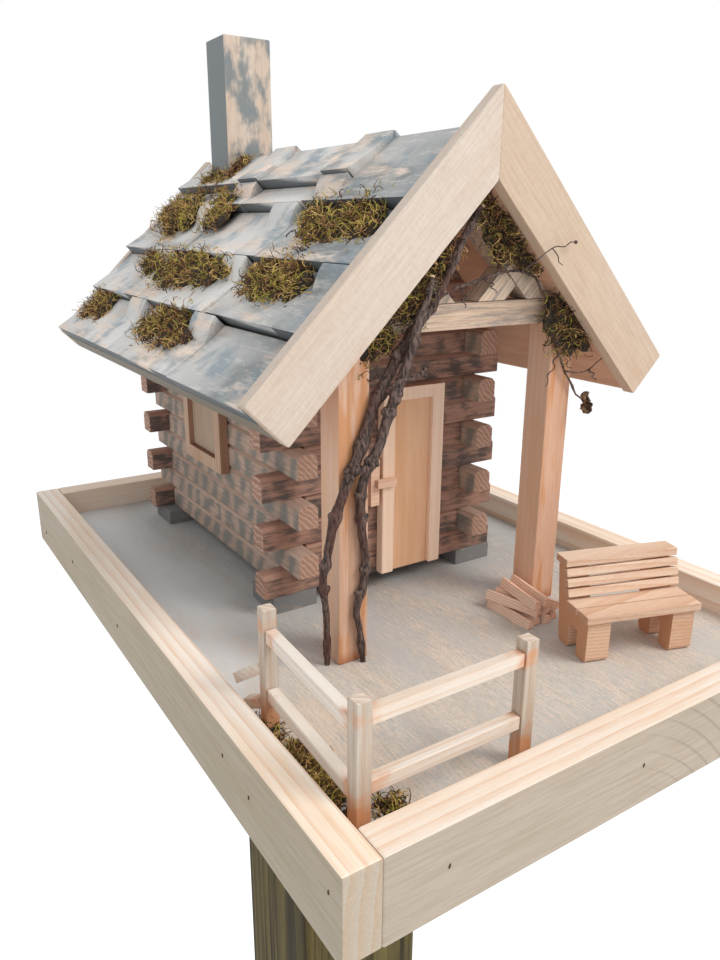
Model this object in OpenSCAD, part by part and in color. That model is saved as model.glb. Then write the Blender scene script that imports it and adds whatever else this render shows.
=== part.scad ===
// Log-cabin bird feeder: a tray with a miniature log cabin on it, on a square ground post.
// Millimetres, +Z up, the door faces -Y, origin at the foot of the ground post.

/* [Ground post] */
// Side of the square post
post_side = 89; // [70:1:110]
// Height from the ground to the underside of the tray
post_height = 900; // [500:10:1500]
// Eased edge of the post
post_chamfer = 4; // [1:0.5:8]
// How far the tray sits to the right of the post
tray_shift = 27; // [0:1:60]

/* [Tray] */
// Width over the side rails
tray_width = 308; // [290:1:360]
// Length over the end rails
tray_length = 445; // [440:1:520]
// Thickness of a rail
rail_thick = 16; // [10:1:20]
// Height of a rail
rail_height = 38; // [30:1:60]
// Depth of the floor below the top of the rails
tray_depth = 17; // [10:1:24]

/* [Cabin] */
// Width over the side walls
cabin_width = 136; // [130:1:150]
// Length over the end walls
cabin_length = 195; // [180:1:200]
// Distance of the cabin's front wall ahead of the middle of the tray
cabin_front = 23.5; // [15:0.5:30]
// Thickness of a log
log_thick = 12.5; // [9:0.5:15]
// Height of a log
log_height = 14.35; // [13.5:0.05:15]
// Chamfer along the upper edges of a log
log_chamfer = 2.5; // [1:0.25:4]
// How far a log runs past the corner
log_overhang = 14.5; // [8:0.5:16]
// Courses of logs in a side wall
courses = 11; // [10:1:11]
// Height of the corner blocks, which is the seed gap under the walls
block_height = 10; // [6:0.5:16]
// Side of a corner block
block_side = 28; // [24:1:40]
// How far the left corner blocks lie in from the ends of the logs
left_block_inset = 5; // [0:0.5:8]
// How far the right corner blocks lie in from the ends of the logs
right_block_inset = 0; // [0:0.5:8]
// How far a corner block shows past the end walls
block_end = 1; // [0:0.1:6]
// Saw gap between neighbouring pieces of wood
saw_gap = 0.3; // [0.2:0.05:0.5]

/* [Door] */
// Width of the door
door_width = 43.6; // [38:0.1:48]
// Height of the door
door_height = 113; // [105:0.5:118]
// Middle of the door, to the right of the middle of the wall
door_middle = 14.2; // [5:0.1:18]
// Thickness of the stiles and the head rail
door_thick = 6; // [4:0.5:8]
// Width of a stile
stile_width = 8.4; // [6:0.1:12]
// Height of the head rail
head_height = 7.4; // [5:0.1:12]
// Thickness of the door's panel
panel_thick = 3; // [2:0.25:4]
// Width of the doorway in the logs
doorway_width = 30; // [22:0.5:34]
// Courses of logs that the doorway cuts
doorway_courses = 7; // [5:1:7]
// Running clearance round the door
door_clear = 0.4; // [0.3:0.05:0.8]
// Length of the latch bar
latch_length = 13.2; // [12:0.1:18]
// Height of the latch bar
latch_height = 5; // [4:0.1:10]
// Thickness of the latch bar
latch_thick = 3; // [2:0.25:5]
// Height of the latch above the foot of the door
latch_rise = 58.5; // [40:0.5:80]
// Width of the keeper strip on the wall
keeper_width = 6; // [4:0.1:7]
// Height of the keeper strip
keeper_height = 28; // [15:0.5:40]
// Distance of the latch bar's end from the inner edge of the stile
latch_inset = 0.5; // [0:0.1:2]
// Gap between the keeper strip and the door
keeper_gap = 2; // [1:0.1:4]

/* [Windows] */
// Width of a window frame along the wall
window_width = 59.5; // [45:0.5:70]
// Height of a window frame
window_height = 60; // [45:0.5:66]
// Height of the window's foot above the tray floor
window_foot = 62.5; // [55:0.5:70]
// Distance of the window's middle behind the front wall
window_back = 105; // [80:1:115]
// Width of the frame's face
window_face = 8.4; // [5:0.1:12]
// Thickness of the frame
window_thick = 6; // [4:0.5:9]
// Thickness of the blank panel in the frame
window_panel_thick = 2.8; // [1.5:0.1:3.5]

/* [Porch] */
// Side of a porch post
porch_side = 16.5; // [12:0.5:20]
// Distance between the middles of the porch posts
porch_spacing = 132.4; // [120:0.5:134]
// Distance from the front of the roof to the front of the porch posts
porch_setback = 16.3; // [14:0.1:24]
// Height of the tie beam above the tray floor
tie_foot = 163; // [156:0.5:166]
// Height of the tie beam
tie_height = 12.5; // [8:0.5:16]
// Thickness of the timbers in the porch truss
truss_thick = 12.5; // [8:0.5:14]
// Distance between the feet of the two struts
strut_spacing = 32; // [26:0.5:36]

/* [Roof] */
// Pitch of the roof
roof_pitch = 45; // [45:0.5:46]
// Length of the slope from ridge to eave
slope_length = 168; // [160:1:172]
// Distance from the cabin's front wall to the front of the roof
porch_depth = 83.3; // [78:0.1:90]
// Distance from the cabin's back wall to the back of the roof
back_overhang = 58.5; // [44:0.1:65]
// Thickness of the roof boards
deck_thick = 12.7; // [9:0.1:14]
// Width of a front barge board
barge_width = 28; // [26:0.5:34]
// Thickness of a barge board
barge_thick = 7; // [4:0.5:10]
// How far a front barge board stands above the roof boards
barge_rise = 13.5; // [11.5:0.1:15]
// Width of a back barge board, narrower because the shingles stand above it
back_barge_width = 18; // [16.5:0.5:34]
// How far a back barge board stands above the roof boards
back_barge_rise = 4.5; // [3.5:0.1:15]
// Thickness of a shingle at its butt
shingle_butt = 10; // [6:0.25:10]
// Thickness of a shingle at its head
shingle_head = 3; // [2:0.25:4]
// Length of a course of shingles that shows
shingle_gauge = 39.5; // [34:0.5:44]
// Length of the top course, from the ridge down
top_gauge = 30; // [20:0.5:34]
// Extra thickness of a rib shingle
rib_rise = 0.5; // [0.25:0.25:1.25]
// Extra thickness of a rib shingle in the top course
top_rib_rise = 2.5; // [0.25:0.25:3]
// Length of the S by which a rib shingle comes down from the course above
rib_ramp = 20; // [8:0.5:26]
// Width of a rib shingle
rib_width = 27; // [14:0.5:32]
// Distance from one rib to the next
rib_spacing = 107; // [80:1:130]
// Distance of the lowest course's first rib behind the front barge boards
rib_first = 90; // [40:1:100]
// Overhang of the lowest shingles past the eave
shingle_overhang = 0.5; // [0.5:0.25:6]

/* [Chimney] */
// Width of the chimney
chimney_width = 34; // [26:0.5:38]
// Depth of the chimney along the ridge
chimney_depth = 29; // [22:0.5:34]
// Height of the chimney above the ridge of the roof boards
chimney_height = 79; // [50:1:100]
// Distance of the chimney from the back of the roof
chimney_back = 52.5; // [38:0.5:64]

/* [Fence] */
// Side of a fence post
fence_side = 6.25; // [4:0.25:10]
// Height of the fence posts
fence_height = 58; // [50:0.5:70]
// Height of a fence rail
fence_rail_height = 6; // [4:0.25:10]
// Thickness of a fence rail
fence_rail_thick = 5; // [3:0.25:6]
// Distance of the corner post from the rails of the tray
fence_inset = 5.5; // [2:0.5:20]
// Length of the fence along the front, between post middles
fence_front = 78.5; // [60:0.5:110]
// Length of the fence along the side, between post middles
fence_side_run = 78; // [60:0.5:110]
// Height of the lower rail along the front
fence_low = 18.5; // [10:0.5:24]
// Height of the upper rail along the front
fence_high = 47; // [34:0.5:50]
// Distance of the front run from the front rail
fence_ahead = 9; // [2:0.5:20]
// How far the side run leans in from the tray's edge, in degrees
fence_skew = 2.5; // [0:0.5:4]
// How much lower the side rails are
fence_drop = 4; // [0:0.5:8]

/* [Bench] */
// Length over the end pieces
bench_length = 62; // [54:0.5:80]
// Depth of an end piece
bench_depth = 27; // [24:0.5:36]
// Thickness of an end piece
bench_end_thick = 13; // [8:0.5:16]
// Height of the end pieces under the seat
bench_seat = 23; // [20:0.5:26]
// Height of the back
bench_back = 48; // [44:0.5:56]
// Thickness of a slat
slat_thick = 4; // [3:0.25:5]
// Depth of a leg
bench_leg = 9.5; // [6:0.5:12]
// Height of the cut between the legs
bench_cut = 14; // [8:0.5:18]
// Thickness of the leaning back
bench_back_thick = 7; // [4:0.5:9]
// How far the back leans
bench_lean = 6; // [2:0.5:9]
// Rounding of the feet
foot_round = 2.5; // [0.5:0.25:4]
// How far the slats run past the end pieces
slat_overhang = 2; // [0:0.5:5]
// Gap between the slats
slat_gap = 1; // [0.5:0.1:2]
// Turn of the bench on the tray
bench_turn = -17.5; // [-30:0.5:0]
// Distance of the front left foot from the right rail
bench_from_side = 106.5; // [95:0.5:140]
// Distance of the front left foot from the front rail
bench_from_front = 51; // [30:0.5:54]

/* [Firewood and vine] */
// Length of a stick of firewood
stick_length = 34; // [20:0.5:36]
// Side of a stick of firewood
stick_side = 5.5; // [4:0.25:7]
// Distance of the heap's middle from the middle of the right porch post
wood_from_post = 22; // [18:0.5:30]
// Distance of the heap's middle ahead of the porch posts
wood_ahead = 7; // [4:0.5:12]
// Thickness of the vine's main stem
vine_thick = 4.8; // [4:0.1:7]
// Thickness of its second stem
vine_second = 4; // [3:0.1:6]
// Thickness of both stems at the top
vine_tip = 3; // [2:0.1:4]
// Thickness of the thin branch
vine_thin = 2; // [1.5:0.1:3]

/* [Hidden] */

// Heights from the ground, and the tray's inside
floor_thick = rail_height - tray_depth;
deck_z = post_height + floor_thick;
inner_x = tray_width / 2 - rail_thick;
inner_y = tray_length / 2 - rail_thick;

// Faces of the cabin
wall_x = cabin_width / 2;
front_y = -cabin_front;
back_y = front_y + cabin_length;
middle_y = (front_y + back_y) / 2;
wall_top = block_height + courses * log_height;

// Faces of the door
door_left = door_middle - door_width / 2;
door_right = door_middle + door_width / 2;
door_foot = block_height + door_clear;
door_back = front_y - door_clear;
door_front = door_back - door_thick;
doorway_left = door_middle - doorway_width / 2;
doorway_right = door_middle + doorway_width / 2;

// The roof boards rest on the chamfers of the top side logs
under_ridge = wall_top - log_chamfer + wall_x * tan(roof_pitch);
ridge_z = under_ridge + deck_thick / cos(roof_pitch);
roof_front = front_y - porch_depth;
roof_back = back_y + back_overhang;
deck_front = roof_front + barge_thick;
deck_back = roof_back - barge_thick;

// The porch
porch_y = roof_front + porch_setback;
truss_y = porch_y + (porch_side - truss_thick) / 2;
tie_top = tie_foot + tie_height;

// A point on the right-hand slope: s down from the ridge, n out of the roof boards
function slope_point(s, n) = [s * cos(roof_pitch) + n * sin(roof_pitch),
                              ridge_z - s * sin(roof_pitch) + n * cos(roof_pitch)];
function slope_points(list) = [for (p = list) slope_point(p[0], p[1])];
// Where height n meets the upright plane through the ridge
function mitre(n) = -n * tan(roof_pitch);

// Puts a piece on the tray: origin in the middle of the tray floor's top
module on_tray() {
    translate([tray_shift, 0, deck_z]) children();
}

// A block given by its low and high corners
module block(low, high) {
    translate(low) cube(high - low);
}

// A side-view outline in X and Z, drawn out along Y
module along_y(y0, y1) {
    translate([0, y1, 0]) rotate([90, 0, 0]) linear_extrude(y1 - y0) children();
}

// Left pieces mirror right ones
module sided(side) {
    mirror([side < 0 ? 1 : 0, 0, 0]) children();
}

module ground_post() {
    inner = post_side / 2 - post_chamfer;
    outer = post_side / 2;
    color("darkolivegreen") linear_extrude(post_height)
        polygon([[-inner, -outer], [inner, -outer], [outer, -inner], [outer, inner],
                 [inner, outer], [-inner, outer], [-outer, inner], [-outer, -inner]]);
}

module tray_floor() {
    color("slategray") on_tray() block([-inner_x, -inner_y, -floor_thick], [inner_x, inner_y, 0]);
}

module side_rail(side) {
    color("wheat") on_tray() sided(side)
        block([inner_x, -tray_length / 2, -floor_thick], [tray_width / 2, tray_length / 2, tray_depth]);
}

module end_rail(side) {
    y = side * (inner_y + rail_thick / 2);
    color("wheat") on_tray()
        block([-inner_x, y - rail_thick / 2, -floor_thick], [inner_x, y + rail_thick / 2, tray_depth]);
}

module corner_blocks() {
    log_end = wall_x + log_overhang;
    outer_y = cabin_length / 2 + block_end;
    spots = [-log_end + left_block_inset, log_end - right_block_inset - block_side];
    color("gray") on_tray() for (x = spots, y = [-outer_y, outer_y - block_side])
        translate([x, middle_y + y, 0]) cube([block_side, block_side, block_height]);
}

// Section of a log with both upper edges chamfered, standing on its foot
module log_section() {
    half = log_thick / 2;
    polygon([[-half, 0], [half, 0], [half, log_height - log_chamfer - saw_gap],
             [half - log_chamfer, log_height - saw_gap], [-half + log_chamfer, log_height - saw_gap],
             [-half, log_height - log_chamfer - saw_gap]]);
}

// Foot of a course, counted from 1
function course_z(c) = block_height + (c - 1) * log_height;
function passes(c) = c % 2 == 1;

module log_along_x(c, y, x0, x1) {
    translate([x0, y, course_z(c)]) rotate([90, 0, 90]) linear_extrude(x1 - x0) log_section();
}

module log_along_y(c, x, y0, y1) {
    translate([x, y1, course_z(c)]) rotate([90, 0, 0]) linear_extrude(y1 - y0) log_section();
}

// Space under the roof boards, which trims what reaches up to them
module under_roof(clear) {
    top = under_ridge - clear;
    reach = top / tan(roof_pitch);
    along_y(roof_front - 1, roof_back + 1) polygon([[-reach, 0], [reach, 0], [0, top]]);
}

// End of an end-wall log: it runs past the corner, or stops at the side wall
function end_reach(c) = passes(c) || c > courses ? wall_x + log_overhang : wall_x - log_thick - saw_gap;
front_mid = front_y + log_thick / 2;
back_mid = back_y - log_thick / 2;
// Courses of the gables, up to the ridge
gable_courses = floor((under_ridge - block_height) / log_height);

module side_wall(side) {
    color("rosybrown") on_tray() for (c = [1 : courses]) {
        y0 = passes(c) ? front_y + log_thick + saw_gap : front_y - log_overhang;
        y1 = passes(c) ? back_y - log_thick - saw_gap : back_y + log_overhang;
        log_along_y(c, side * (wall_x - log_thick / 2), y0, y1);
    }
}

// Logs of an end wall from course first up to the ridge, trimmed by the roof
module end_wall(y, first) {
    intersection() {
        for (c = [first : gable_courses]) log_along_x(c, y, -end_reach(c), end_reach(c));
        under_roof(saw_gap);
    }
}

module back_wall() {
    color("rosybrown") on_tray() end_wall(back_mid, 1);
}

module front_wall_left() {
    color("rosybrown") on_tray() for (c = [1 : doorway_courses])
        log_along_x(c, front_mid, -end_reach(c), doorway_left);
}

module front_wall_right() {
    color("rosybrown") on_tray() for (c = [1 : doorway_courses])
        log_along_x(c, front_mid, doorway_right, end_reach(c));
}

module front_wall_over() {
    color("rosybrown") on_tray() end_wall(front_mid, doorway_courses + 1);
}

module window_frame(side) {
    y0 = front_y + window_back - window_width / 2;
    z1 = window_foot + window_height;
    color("tan") on_tray() sided(side) difference() {
        block([wall_x, y0, window_foot], [wall_x + window_thick, y0 + window_width, z1]);
        block([wall_x - 1, y0 + window_face, window_foot + window_face],
              [wall_x + window_thick + 1, y0 + window_width - window_face, z1 - window_face]);
    }
}

module window_panel(side) {
    inset = window_face + saw_gap;
    y0 = front_y + window_back - window_width / 2 + inset;
    y1 = front_y + window_back + window_width / 2 - inset;
    color("burlywood") on_tray() sided(side)
        block([wall_x, y0, window_foot + inset],
              [wall_x + window_panel_thick, y1, window_foot + window_height - inset]);
}

module door_left_stile() {
    color("burlywood") on_tray() block([door_left, door_front, door_foot],
                                       [door_left + stile_width, door_back, door_foot + door_height]);
}

module door_right_stile() {
    color("burlywood") on_tray() block([door_right - stile_width, door_front, door_foot],
                                       [door_right, door_back, door_foot + door_height]);
}

module door_head_rail() {
    z1 = door_foot + door_height;
    color("burlywood") on_tray() block([door_left + stile_width, door_front, z1 - head_height],
                                       [door_right - stile_width, door_back, z1]);
}

module door_panel() {
    color("peru") on_tray() block([door_left + stile_width, door_back - panel_thick, door_foot],
                                  [door_right - stile_width, door_back, door_foot + door_height - head_height]);
}

// The bar is fixed to the door and lies across the keeper when the door is shut
module latch_bar() {
    x1 = door_left + stile_width - latch_inset;
    z0 = door_foot + latch_rise - latch_height / 2;
    color("tan") on_tray() block([x1 - latch_length, door_front - latch_thick, z0],
                                 [x1, door_front, z0 + latch_height]);
}

module latch_keeper() {
    x1 = door_left - keeper_gap;
    z0 = door_foot + latch_rise - keeper_height / 2;
    color("tan") on_tray() block([x1 - keeper_width, front_y - door_thick, z0],
                                 [x1, front_y, z0 + keeper_height]);
}

module porch_post(side) {
    x = side * porch_spacing / 2;
    half = porch_side / 2;
    color("burlywood") on_tray() intersection() {
        block([x - half, porch_y, 0], [x + half, porch_y + porch_side, tie_foot]);
        under_roof(saw_gap);
    }
}

module porch_tie_beam() {
    reach = porch_spacing / 2 + porch_side / 2;
    color("tan") on_tray() intersection() {
        block([-reach, truss_y, tie_foot], [reach, truss_y + truss_thick, tie_top]);
        under_roof(saw_gap);
    }
}

// Two rafters under the roof boards, from the tie beam to the ridge
module porch_rafters() {
    low = tie_top + saw_gap;
    top = under_ridge - saw_gap;
    drop = truss_thick / cos(roof_pitch);
    function run(z) = z / tan(roof_pitch);
    color("rosybrown") on_tray() for (side = [-1, 1]) sided(side)
        along_y(truss_y, truss_y + truss_thick)
            polygon([[saw_gap, top - saw_gap * tan(roof_pitch)], [run(top - low), low],
                     [run(top - drop - low), low], [saw_gap, top - drop - saw_gap * tan(roof_pitch)]]);
}

// Two struts that rise from the tie beam to the rafters
module porch_struts() {
    low = tie_top + saw_gap;
    drop = truss_thick / cos(roof_pitch);
    rafter_foot = (under_ridge - saw_gap - drop - low) / tan(roof_pitch) - saw_gap * 2;
    half = truss_thick / sin(roof_pitch) / 2;
    foot = strut_spacing / 2;
    function meet(x) = (rafter_foot + x) / 2;
    outer = min(foot + half, rafter_foot - saw_gap);
    color("gray") on_tray() for (side = [-1, 1]) sided(side)
        along_y(truss_y, truss_y + truss_thick)
            polygon([[foot - half, low], [outer, low],
                     [meet(outer), low + (meet(outer) - outer) * tan(roof_pitch)],
                     [meet(foot - half), low + (meet(foot - half) - foot + half) * tan(roof_pitch)]]);
}

module roof_deck(side) {
    color("burlywood") on_tray() sided(side) along_y(deck_front, deck_back)
        polygon(slope_points([[mitre(0), 0], [slope_length, 0], [slope_length, -deck_thick],
                              [mitre(-deck_thick), -deck_thick]]));
}

module barge_board(side, y0, rise, width) {
    low = rise - width;
    color("wheat") on_tray() sided(side) along_y(y0, y0 + barge_thick)
        polygon(slope_points([[mitre(rise), rise], [slope_length, rise],
                              [slope_length, low], [mitre(low), low]]));
}

// Courses of shingles, counted from the eave: plain ones, and a short one along the ridge
plain_courses = max(1, ceil((slope_length - top_gauge - shingle_overhang) / shingle_gauge));
function butt_s(c) = c == 0 ? slope_length + shingle_overhang
                   : c == plain_courses ? top_gauge : slope_length - c * shingle_gauge;
// How far the ribs of each course stand behind those of the lowest course
rib_stagger = [0, 20, 14, -15, -15];
// A shingle's swell at t from butt to head as a shallow cove, and the S of a rib
function cove(t) = pow(1 - t, 1.4);
function ogee(t) = 1 - t * t * (3 - 2 * t);

// A shingle between y0 and y1, from its butt at s0 up to its head at s1, or mitred at the ridge
module shingle(y0, y1, s0, s1, is_rib, uneven) {
    at_ridge = s1 == 0;
    steps = is_rib ? 14 : 6;
    rise = !is_rib ? 0 : at_ridge ? top_rib_rise : rib_rise;
    thin = shingle_head + rise;
    swell = shingle_butt - shingle_head - uneven;
    top = at_ridge ? mitre(thin) + saw_gap * 2 : s1;
    base = at_ridge ? saw_gap * 2 : s1;
    butt = s0 - uneven;
    curve = [for (i = [0 : steps])
             let (t = i / steps, s = butt + (top - butt) * t, down = min(1, (s - top) / rib_ramp))
             [s, thin + swell * max(cove(t), is_rib && !at_ridge ? ogee(down) : 0)]];
    along_y(y0, y1) polygon(slope_points(concat([[butt, 0]], curve, [[base, 0]])));
}

// Wide shingles of a course with ribs between them; the front one of the last plain course runs up to the ridge
module course_of_shingles(c) {
    least = 8;
    low = deck_front + saw_gap;
    high = deck_back - saw_gap;
    is_top = c == plain_courses;
    first = deck_front + rib_first + rib_stagger[min(c, len(rib_stagger) - 1)];
    for (i = [-1 : ceil((high - first) / rib_spacing)]) {
        rib = first + i * rib_spacing;
        has_rib = rib > low && rib + rib_width + least < high;
        wide_low = has_rib ? rib + rib_width + saw_gap : max(rib, low);
        next = rib + rib_spacing;
        wide_high = next + rib_width + least < high ? next - saw_gap : high;
        has_wide = (has_rib || rib <= low) && wide_high - wide_low > least;
        reaches_ridge = is_top || (c == plain_courses - 1 && i < 0);
        head = reaches_ridge ? 0 : butt_s(c + 1) + saw_gap;
        uneven = (i * 5 + c * 3 + 5) % 4 * 0.5;
        if (has_rib) shingle(rib, rib + rib_width, butt_s(c), head, true, uneven / 2);
        if (has_wide && !(is_top && i < 0))
            shingle(wide_low, wide_high, butt_s(c), head, false, uneven);
    }
}

module shingles(side) {
    chimney_y = roof_back - chimney_back - chimney_depth;
    color("lightslategray") on_tray() sided(side) difference() {
        for (c = [0 : plain_courses]) course_of_shingles(c);
        block([-chimney_width / 2 - saw_gap, chimney_y - saw_gap, 0],
              [chimney_width / 2 + saw_gap, chimney_y + chimney_depth + saw_gap, ridge_z + chimney_height]);
    }
}

// The chimney straddles the ridge of the roof boards
module chimney() {
    half = chimney_width / 2;
    y1 = roof_back - chimney_back;
    foot = ridge_z - half * tan(roof_pitch);
    color("lightslategray") on_tray() along_y(y1 - chimney_depth, y1)
        polygon([[-half, foot], [0, ridge_z], [half, foot],
                 [half, ridge_z + chimney_height], [-half, ridge_z + chimney_height]]);
}

// Middles of the three fence posts
fence_x = -inner_x + fence_inset + fence_side / 2;
fence_y = -inner_y + fence_ahead + fence_side / 2;

// The side run, drawn along Y from the corner post
module side_run() {
    translate([fence_x, fence_y, 0]) rotate([0, 0, -fence_skew]) children();
}

module fence_post() {
    half = fence_side / 2;
    block([-half, -half, 0], [half, half, fence_height]);
}

module fence_posts() {
    color("wheat") on_tray() {
        for (x = [fence_x, fence_x + fence_front]) translate([x, fence_y, 0]) fence_post();
        side_run() translate([0, fence_side_run, 0]) fence_post();
    }
}

module fence_rails() {
    gap = fence_side / 2 + saw_gap;
    half = fence_rail_thick / 2;
    color("wheat") on_tray() for (z = [fence_low, fence_high]) {
        block([fence_x + gap, fence_y - half, z],
              [fence_x + fence_front - gap, fence_y + half, z + fence_rail_height]);
        side_run() translate([0, 0, z - fence_drop])
            block([-half, gap, 0], [half, fence_side_run - gap, fence_rail_height]);
    }
}

// Two snapped rails that lean from the back post down to the side of the tray: height, tilt, turn and length
snapped = [[31, -35, 14, 24], [13, -20, 30, 9]];
snapped_gap = 3.2;

module broken_rails() {
    half = fence_rail_thick / 2;
    color("tan") on_tray() side_run() for (s = snapped)
        translate([0, fence_side_run + fence_side / 2 + saw_gap, s[0]]) rotate([s[1], 0, s[2]])
            block([-half, snapped_gap, -fence_rail_thick], [half, snapped_gap + s[3], 0]);
}

// Place of the bench: its front left foot
module bench_place() {
    on_tray() translate([inner_x - bench_from_side, bench_from_front - inner_y, 0])
        rotate([0, 0, bench_turn]) children();
}

// Front of the leaning back at the seat, and the top of the end pieces under the cap slat
back_foot = bench_depth - bench_back_thick;
back_top = bench_back - slat_thick;

// Side view of an end piece: two round-footed legs, a cut between them, and a back that leans
module bench_end_outline() {
    offset(r = foot_round, $fn = 16) offset(delta = -foot_round) difference() {
        polygon([[0, 0], [bench_depth, 0], [bench_depth + bench_lean, back_top],
                 [back_foot + bench_lean, back_top], [back_foot, bench_seat], [0, bench_seat]]);
        polygon([[bench_leg, -1], [bench_leg, bench_cut], [bench_depth - bench_leg, bench_cut],
                 [bench_depth - bench_leg, -1]]);
    }
}

module bench_ends() {
    color("burlywood") bench_place() for (x = [0, bench_length - bench_end_thick])
        translate([x, 0, 0]) rotate([90, 0, 90]) linear_extrude(bench_end_thick) bench_end_outline();
}

module bench_seat_slats() {
    count = 2;
    pitch = (back_foot + slat_overhang) / count;
    color("burlywood") bench_place() for (i = [0 : count - 1])
        block([-slat_overhang, i * pitch - slat_overhang, bench_seat],
              [bench_length + slat_overhang, (i + 1) * pitch - slat_overhang - slat_gap,
               bench_seat + slat_thick]);
}

// Slats lie against the leaning face of the back, and one more lies on top as a cap
module bench_back_slats() {
    count = 3;
    rise = back_top - bench_seat;
    lean = atan(bench_lean / rise);
    first = slat_thick + slat_gap;
    pitch = (norm([rise, bench_lean]) - first - slat_gap) / count;
    color("burlywood") bench_place() {
        translate([0, back_foot - saw_gap, bench_seat]) rotate([-lean, 0, 0]) for (i = [0 : count - 1])
            block([-slat_overhang, -slat_thick, first + i * pitch],
                  [bench_length + slat_overhang, 0, first + (i + 1) * pitch - slat_gap]);
        translate([-slat_overhang, back_foot + bench_lean - slat_thick, back_top])
            cube([bench_length + slat_overhang * 2, bench_back_thick + slat_thick, slat_thick]);
    }
}

// Split sticks in three layers beside the right-hand porch post
module stick(x, y, layer, turn) {
    color("rosybrown") translate([x, y, layer * (stick_side + saw_gap / 2)]) rotate([0, 0, turn])
        translate([-stick_length / 2, 0, 0]) rotate([90, 0, 90]) linear_extrude(stick_length)
            polygon([[-stick_side / 2, 0], [stick_side / 2, 0], [stick_side / 4, stick_side],
                     [-stick_side / 4, stick_side * 0.8]]);
}

module firewood() {
    step = stick_side + saw_gap * 3;
    on_tray() translate([porch_spacing / 2 - wood_from_post, porch_y - wood_ahead, 0]) {
        for (i = [0 : 3]) stick((i - 1.5) * step, (i % 2) * 2, 0, 90);
        for (i = [0 : 2]) stick((i - 1) * step * 1.1, 1, 1, 105);
        for (i = [0 : 1]) stick((i - 0.5) * step * 1.2, -1, 2, 80);
    }
}

// A round tube through the points of a list, swept as one closed skin
function unit(v) = v / norm(v);
function heading(pts, i) = unit(pts[min(i + 1, len(pts) - 1)] - pts[max(i - 1, 0)]);
function ring(pts, i, r, sides) =
    let (d = heading(pts, i), a = unit(cross(d, [0, 1, 0])), b = cross(d, a))
    [for (k = [0 : sides - 1]) pts[i] + r * (cos(360 * k / sides) * a + sin(360 * k / sides) * b)];

module tube(pts, thick_start, thick_end) {
    sides = 8;
    count = len(pts);
    points = [for (i = [0 : count - 1])
              each ring(pts, i, (thick_start + (thick_end - thick_start) * i / (count - 1)) / 2, sides)];
    sides_faces = [for (i = [0 : count - 2], k = [0 : sides - 1])
                   [i * sides + k, i * sides + (k + 1) % sides,
                    (i + 1) * sides + (k + 1) % sides, (i + 1) * sides + k]];
    start_face = [[for (k = [0 : sides - 1]) sides - 1 - k]];
    end_face = [[for (k = [0 : sides - 1]) (count - 1) * sides + k]];
    polyhedron(points, concat(start_face, sides_faces, end_face));
}

// The vine climbs the front of the left porch post, then the gable: x, height and how far forward
vine_y = porch_y - vine_thick / 2 - saw_gap;
vine_left = [[-79, 0, -7], [-81, 29, -4], [-84, 48, -2], [-83, 60, 0], [-79, 78, 0], [-71, 98, 0],
             [-65, 111, 0], [-57, 132, 0], [-50, 144, 0], [-43, 155, 0], [-34, 166, 0], [-25, 176, 0],
             [-17, 188, 0], [-8, 205, 0], [2, 220, 0]];
vine_right = [[-62, 0, 0], [-64, 18, 0], [-66, 30, 0], [-62, 43, 0], [-61, 56, 0], [-63, 70, 0], [-64, 83, 0],
              [-64, 93, 1], [-62, 103, 3], [-58, 114, 6], [-54, 125, 6], [-50, 135, 6], [-46, 144, 6],
              [-41, 157, 6], [-38, 168, 6], [-34, 175, 5], [-30, 182, 4], [-28, 189, 3]];
vine_reach = [[-18.4, 180.4, 0], [-3, 185, 0], [9, 188, 0], [19, 190, 0], [29, 190, 0], [39, 187, 0],
              [45, 180, 0], [50, 170, 0], [53, 160, 0], [61, 149, 0], [68, 139, 0], [76, 130, 0], [82, 120, 0]];

module vine(route, thick, tip) {
    color("saddlebrown") on_tray() tube([for (p = route) [p[0], vine_y - p[2], p[1]]], thick, tip);
}

module vine_left_stem() {
    vine(vine_left, vine_thick, vine_tip);
}

module vine_right_stem() {
    vine(vine_right, vine_second, vine_tip);
}

module vine_branch() {
    vine(vine_reach, vine_thin, vine_thin * 0.6);
}

ground_post();
tray_floor();
side_rail(-1);  // left_rail
side_rail(1);  // right_rail
end_rail(-1);  // front_rail
end_rail(1);  // back_rail
corner_blocks();
side_wall(-1);  // left_wall
side_wall(1);  // right_wall
back_wall();
front_wall_left();
front_wall_right();
front_wall_over();
window_frame(-1);  // left_window_frame
window_panel(-1);  // left_window_panel
window_frame(1);  // right_window_frame
window_panel(1);  // right_window_panel
door_left_stile();
door_right_stile();
door_head_rail();
door_panel();
latch_bar();
latch_keeper();
porch_post(-1);  // left_porch_post
porch_post(1);  // right_porch_post
porch_tie_beam();
porch_rafters();
porch_struts();
roof_deck(-1);  // left_roof_deck
roof_deck(1);  // right_roof_deck
shingles(-1);  // left_shingles
shingles(1);  // right_shingles
barge_board(-1, roof_front, barge_rise, barge_width);  // front_left_barge
barge_board(1, roof_front, barge_rise, barge_width);  // front_right_barge
barge_board(-1, deck_back, back_barge_rise, back_barge_width);  // back_left_barge
barge_board(1, deck_back, back_barge_rise, back_barge_width);  // back_right_barge
chimney();
fence_posts();
fence_rails();
broken_rails();
bench_ends();
bench_seat_slats();
bench_back_slats();
firewood();
vine_left_stem();
vine_right_stem();
vine_branch();
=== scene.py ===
import math
import random
from types import SimpleNamespace

import bmesh
import bpy
from mathutils import Matrix, Vector, noise


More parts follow.
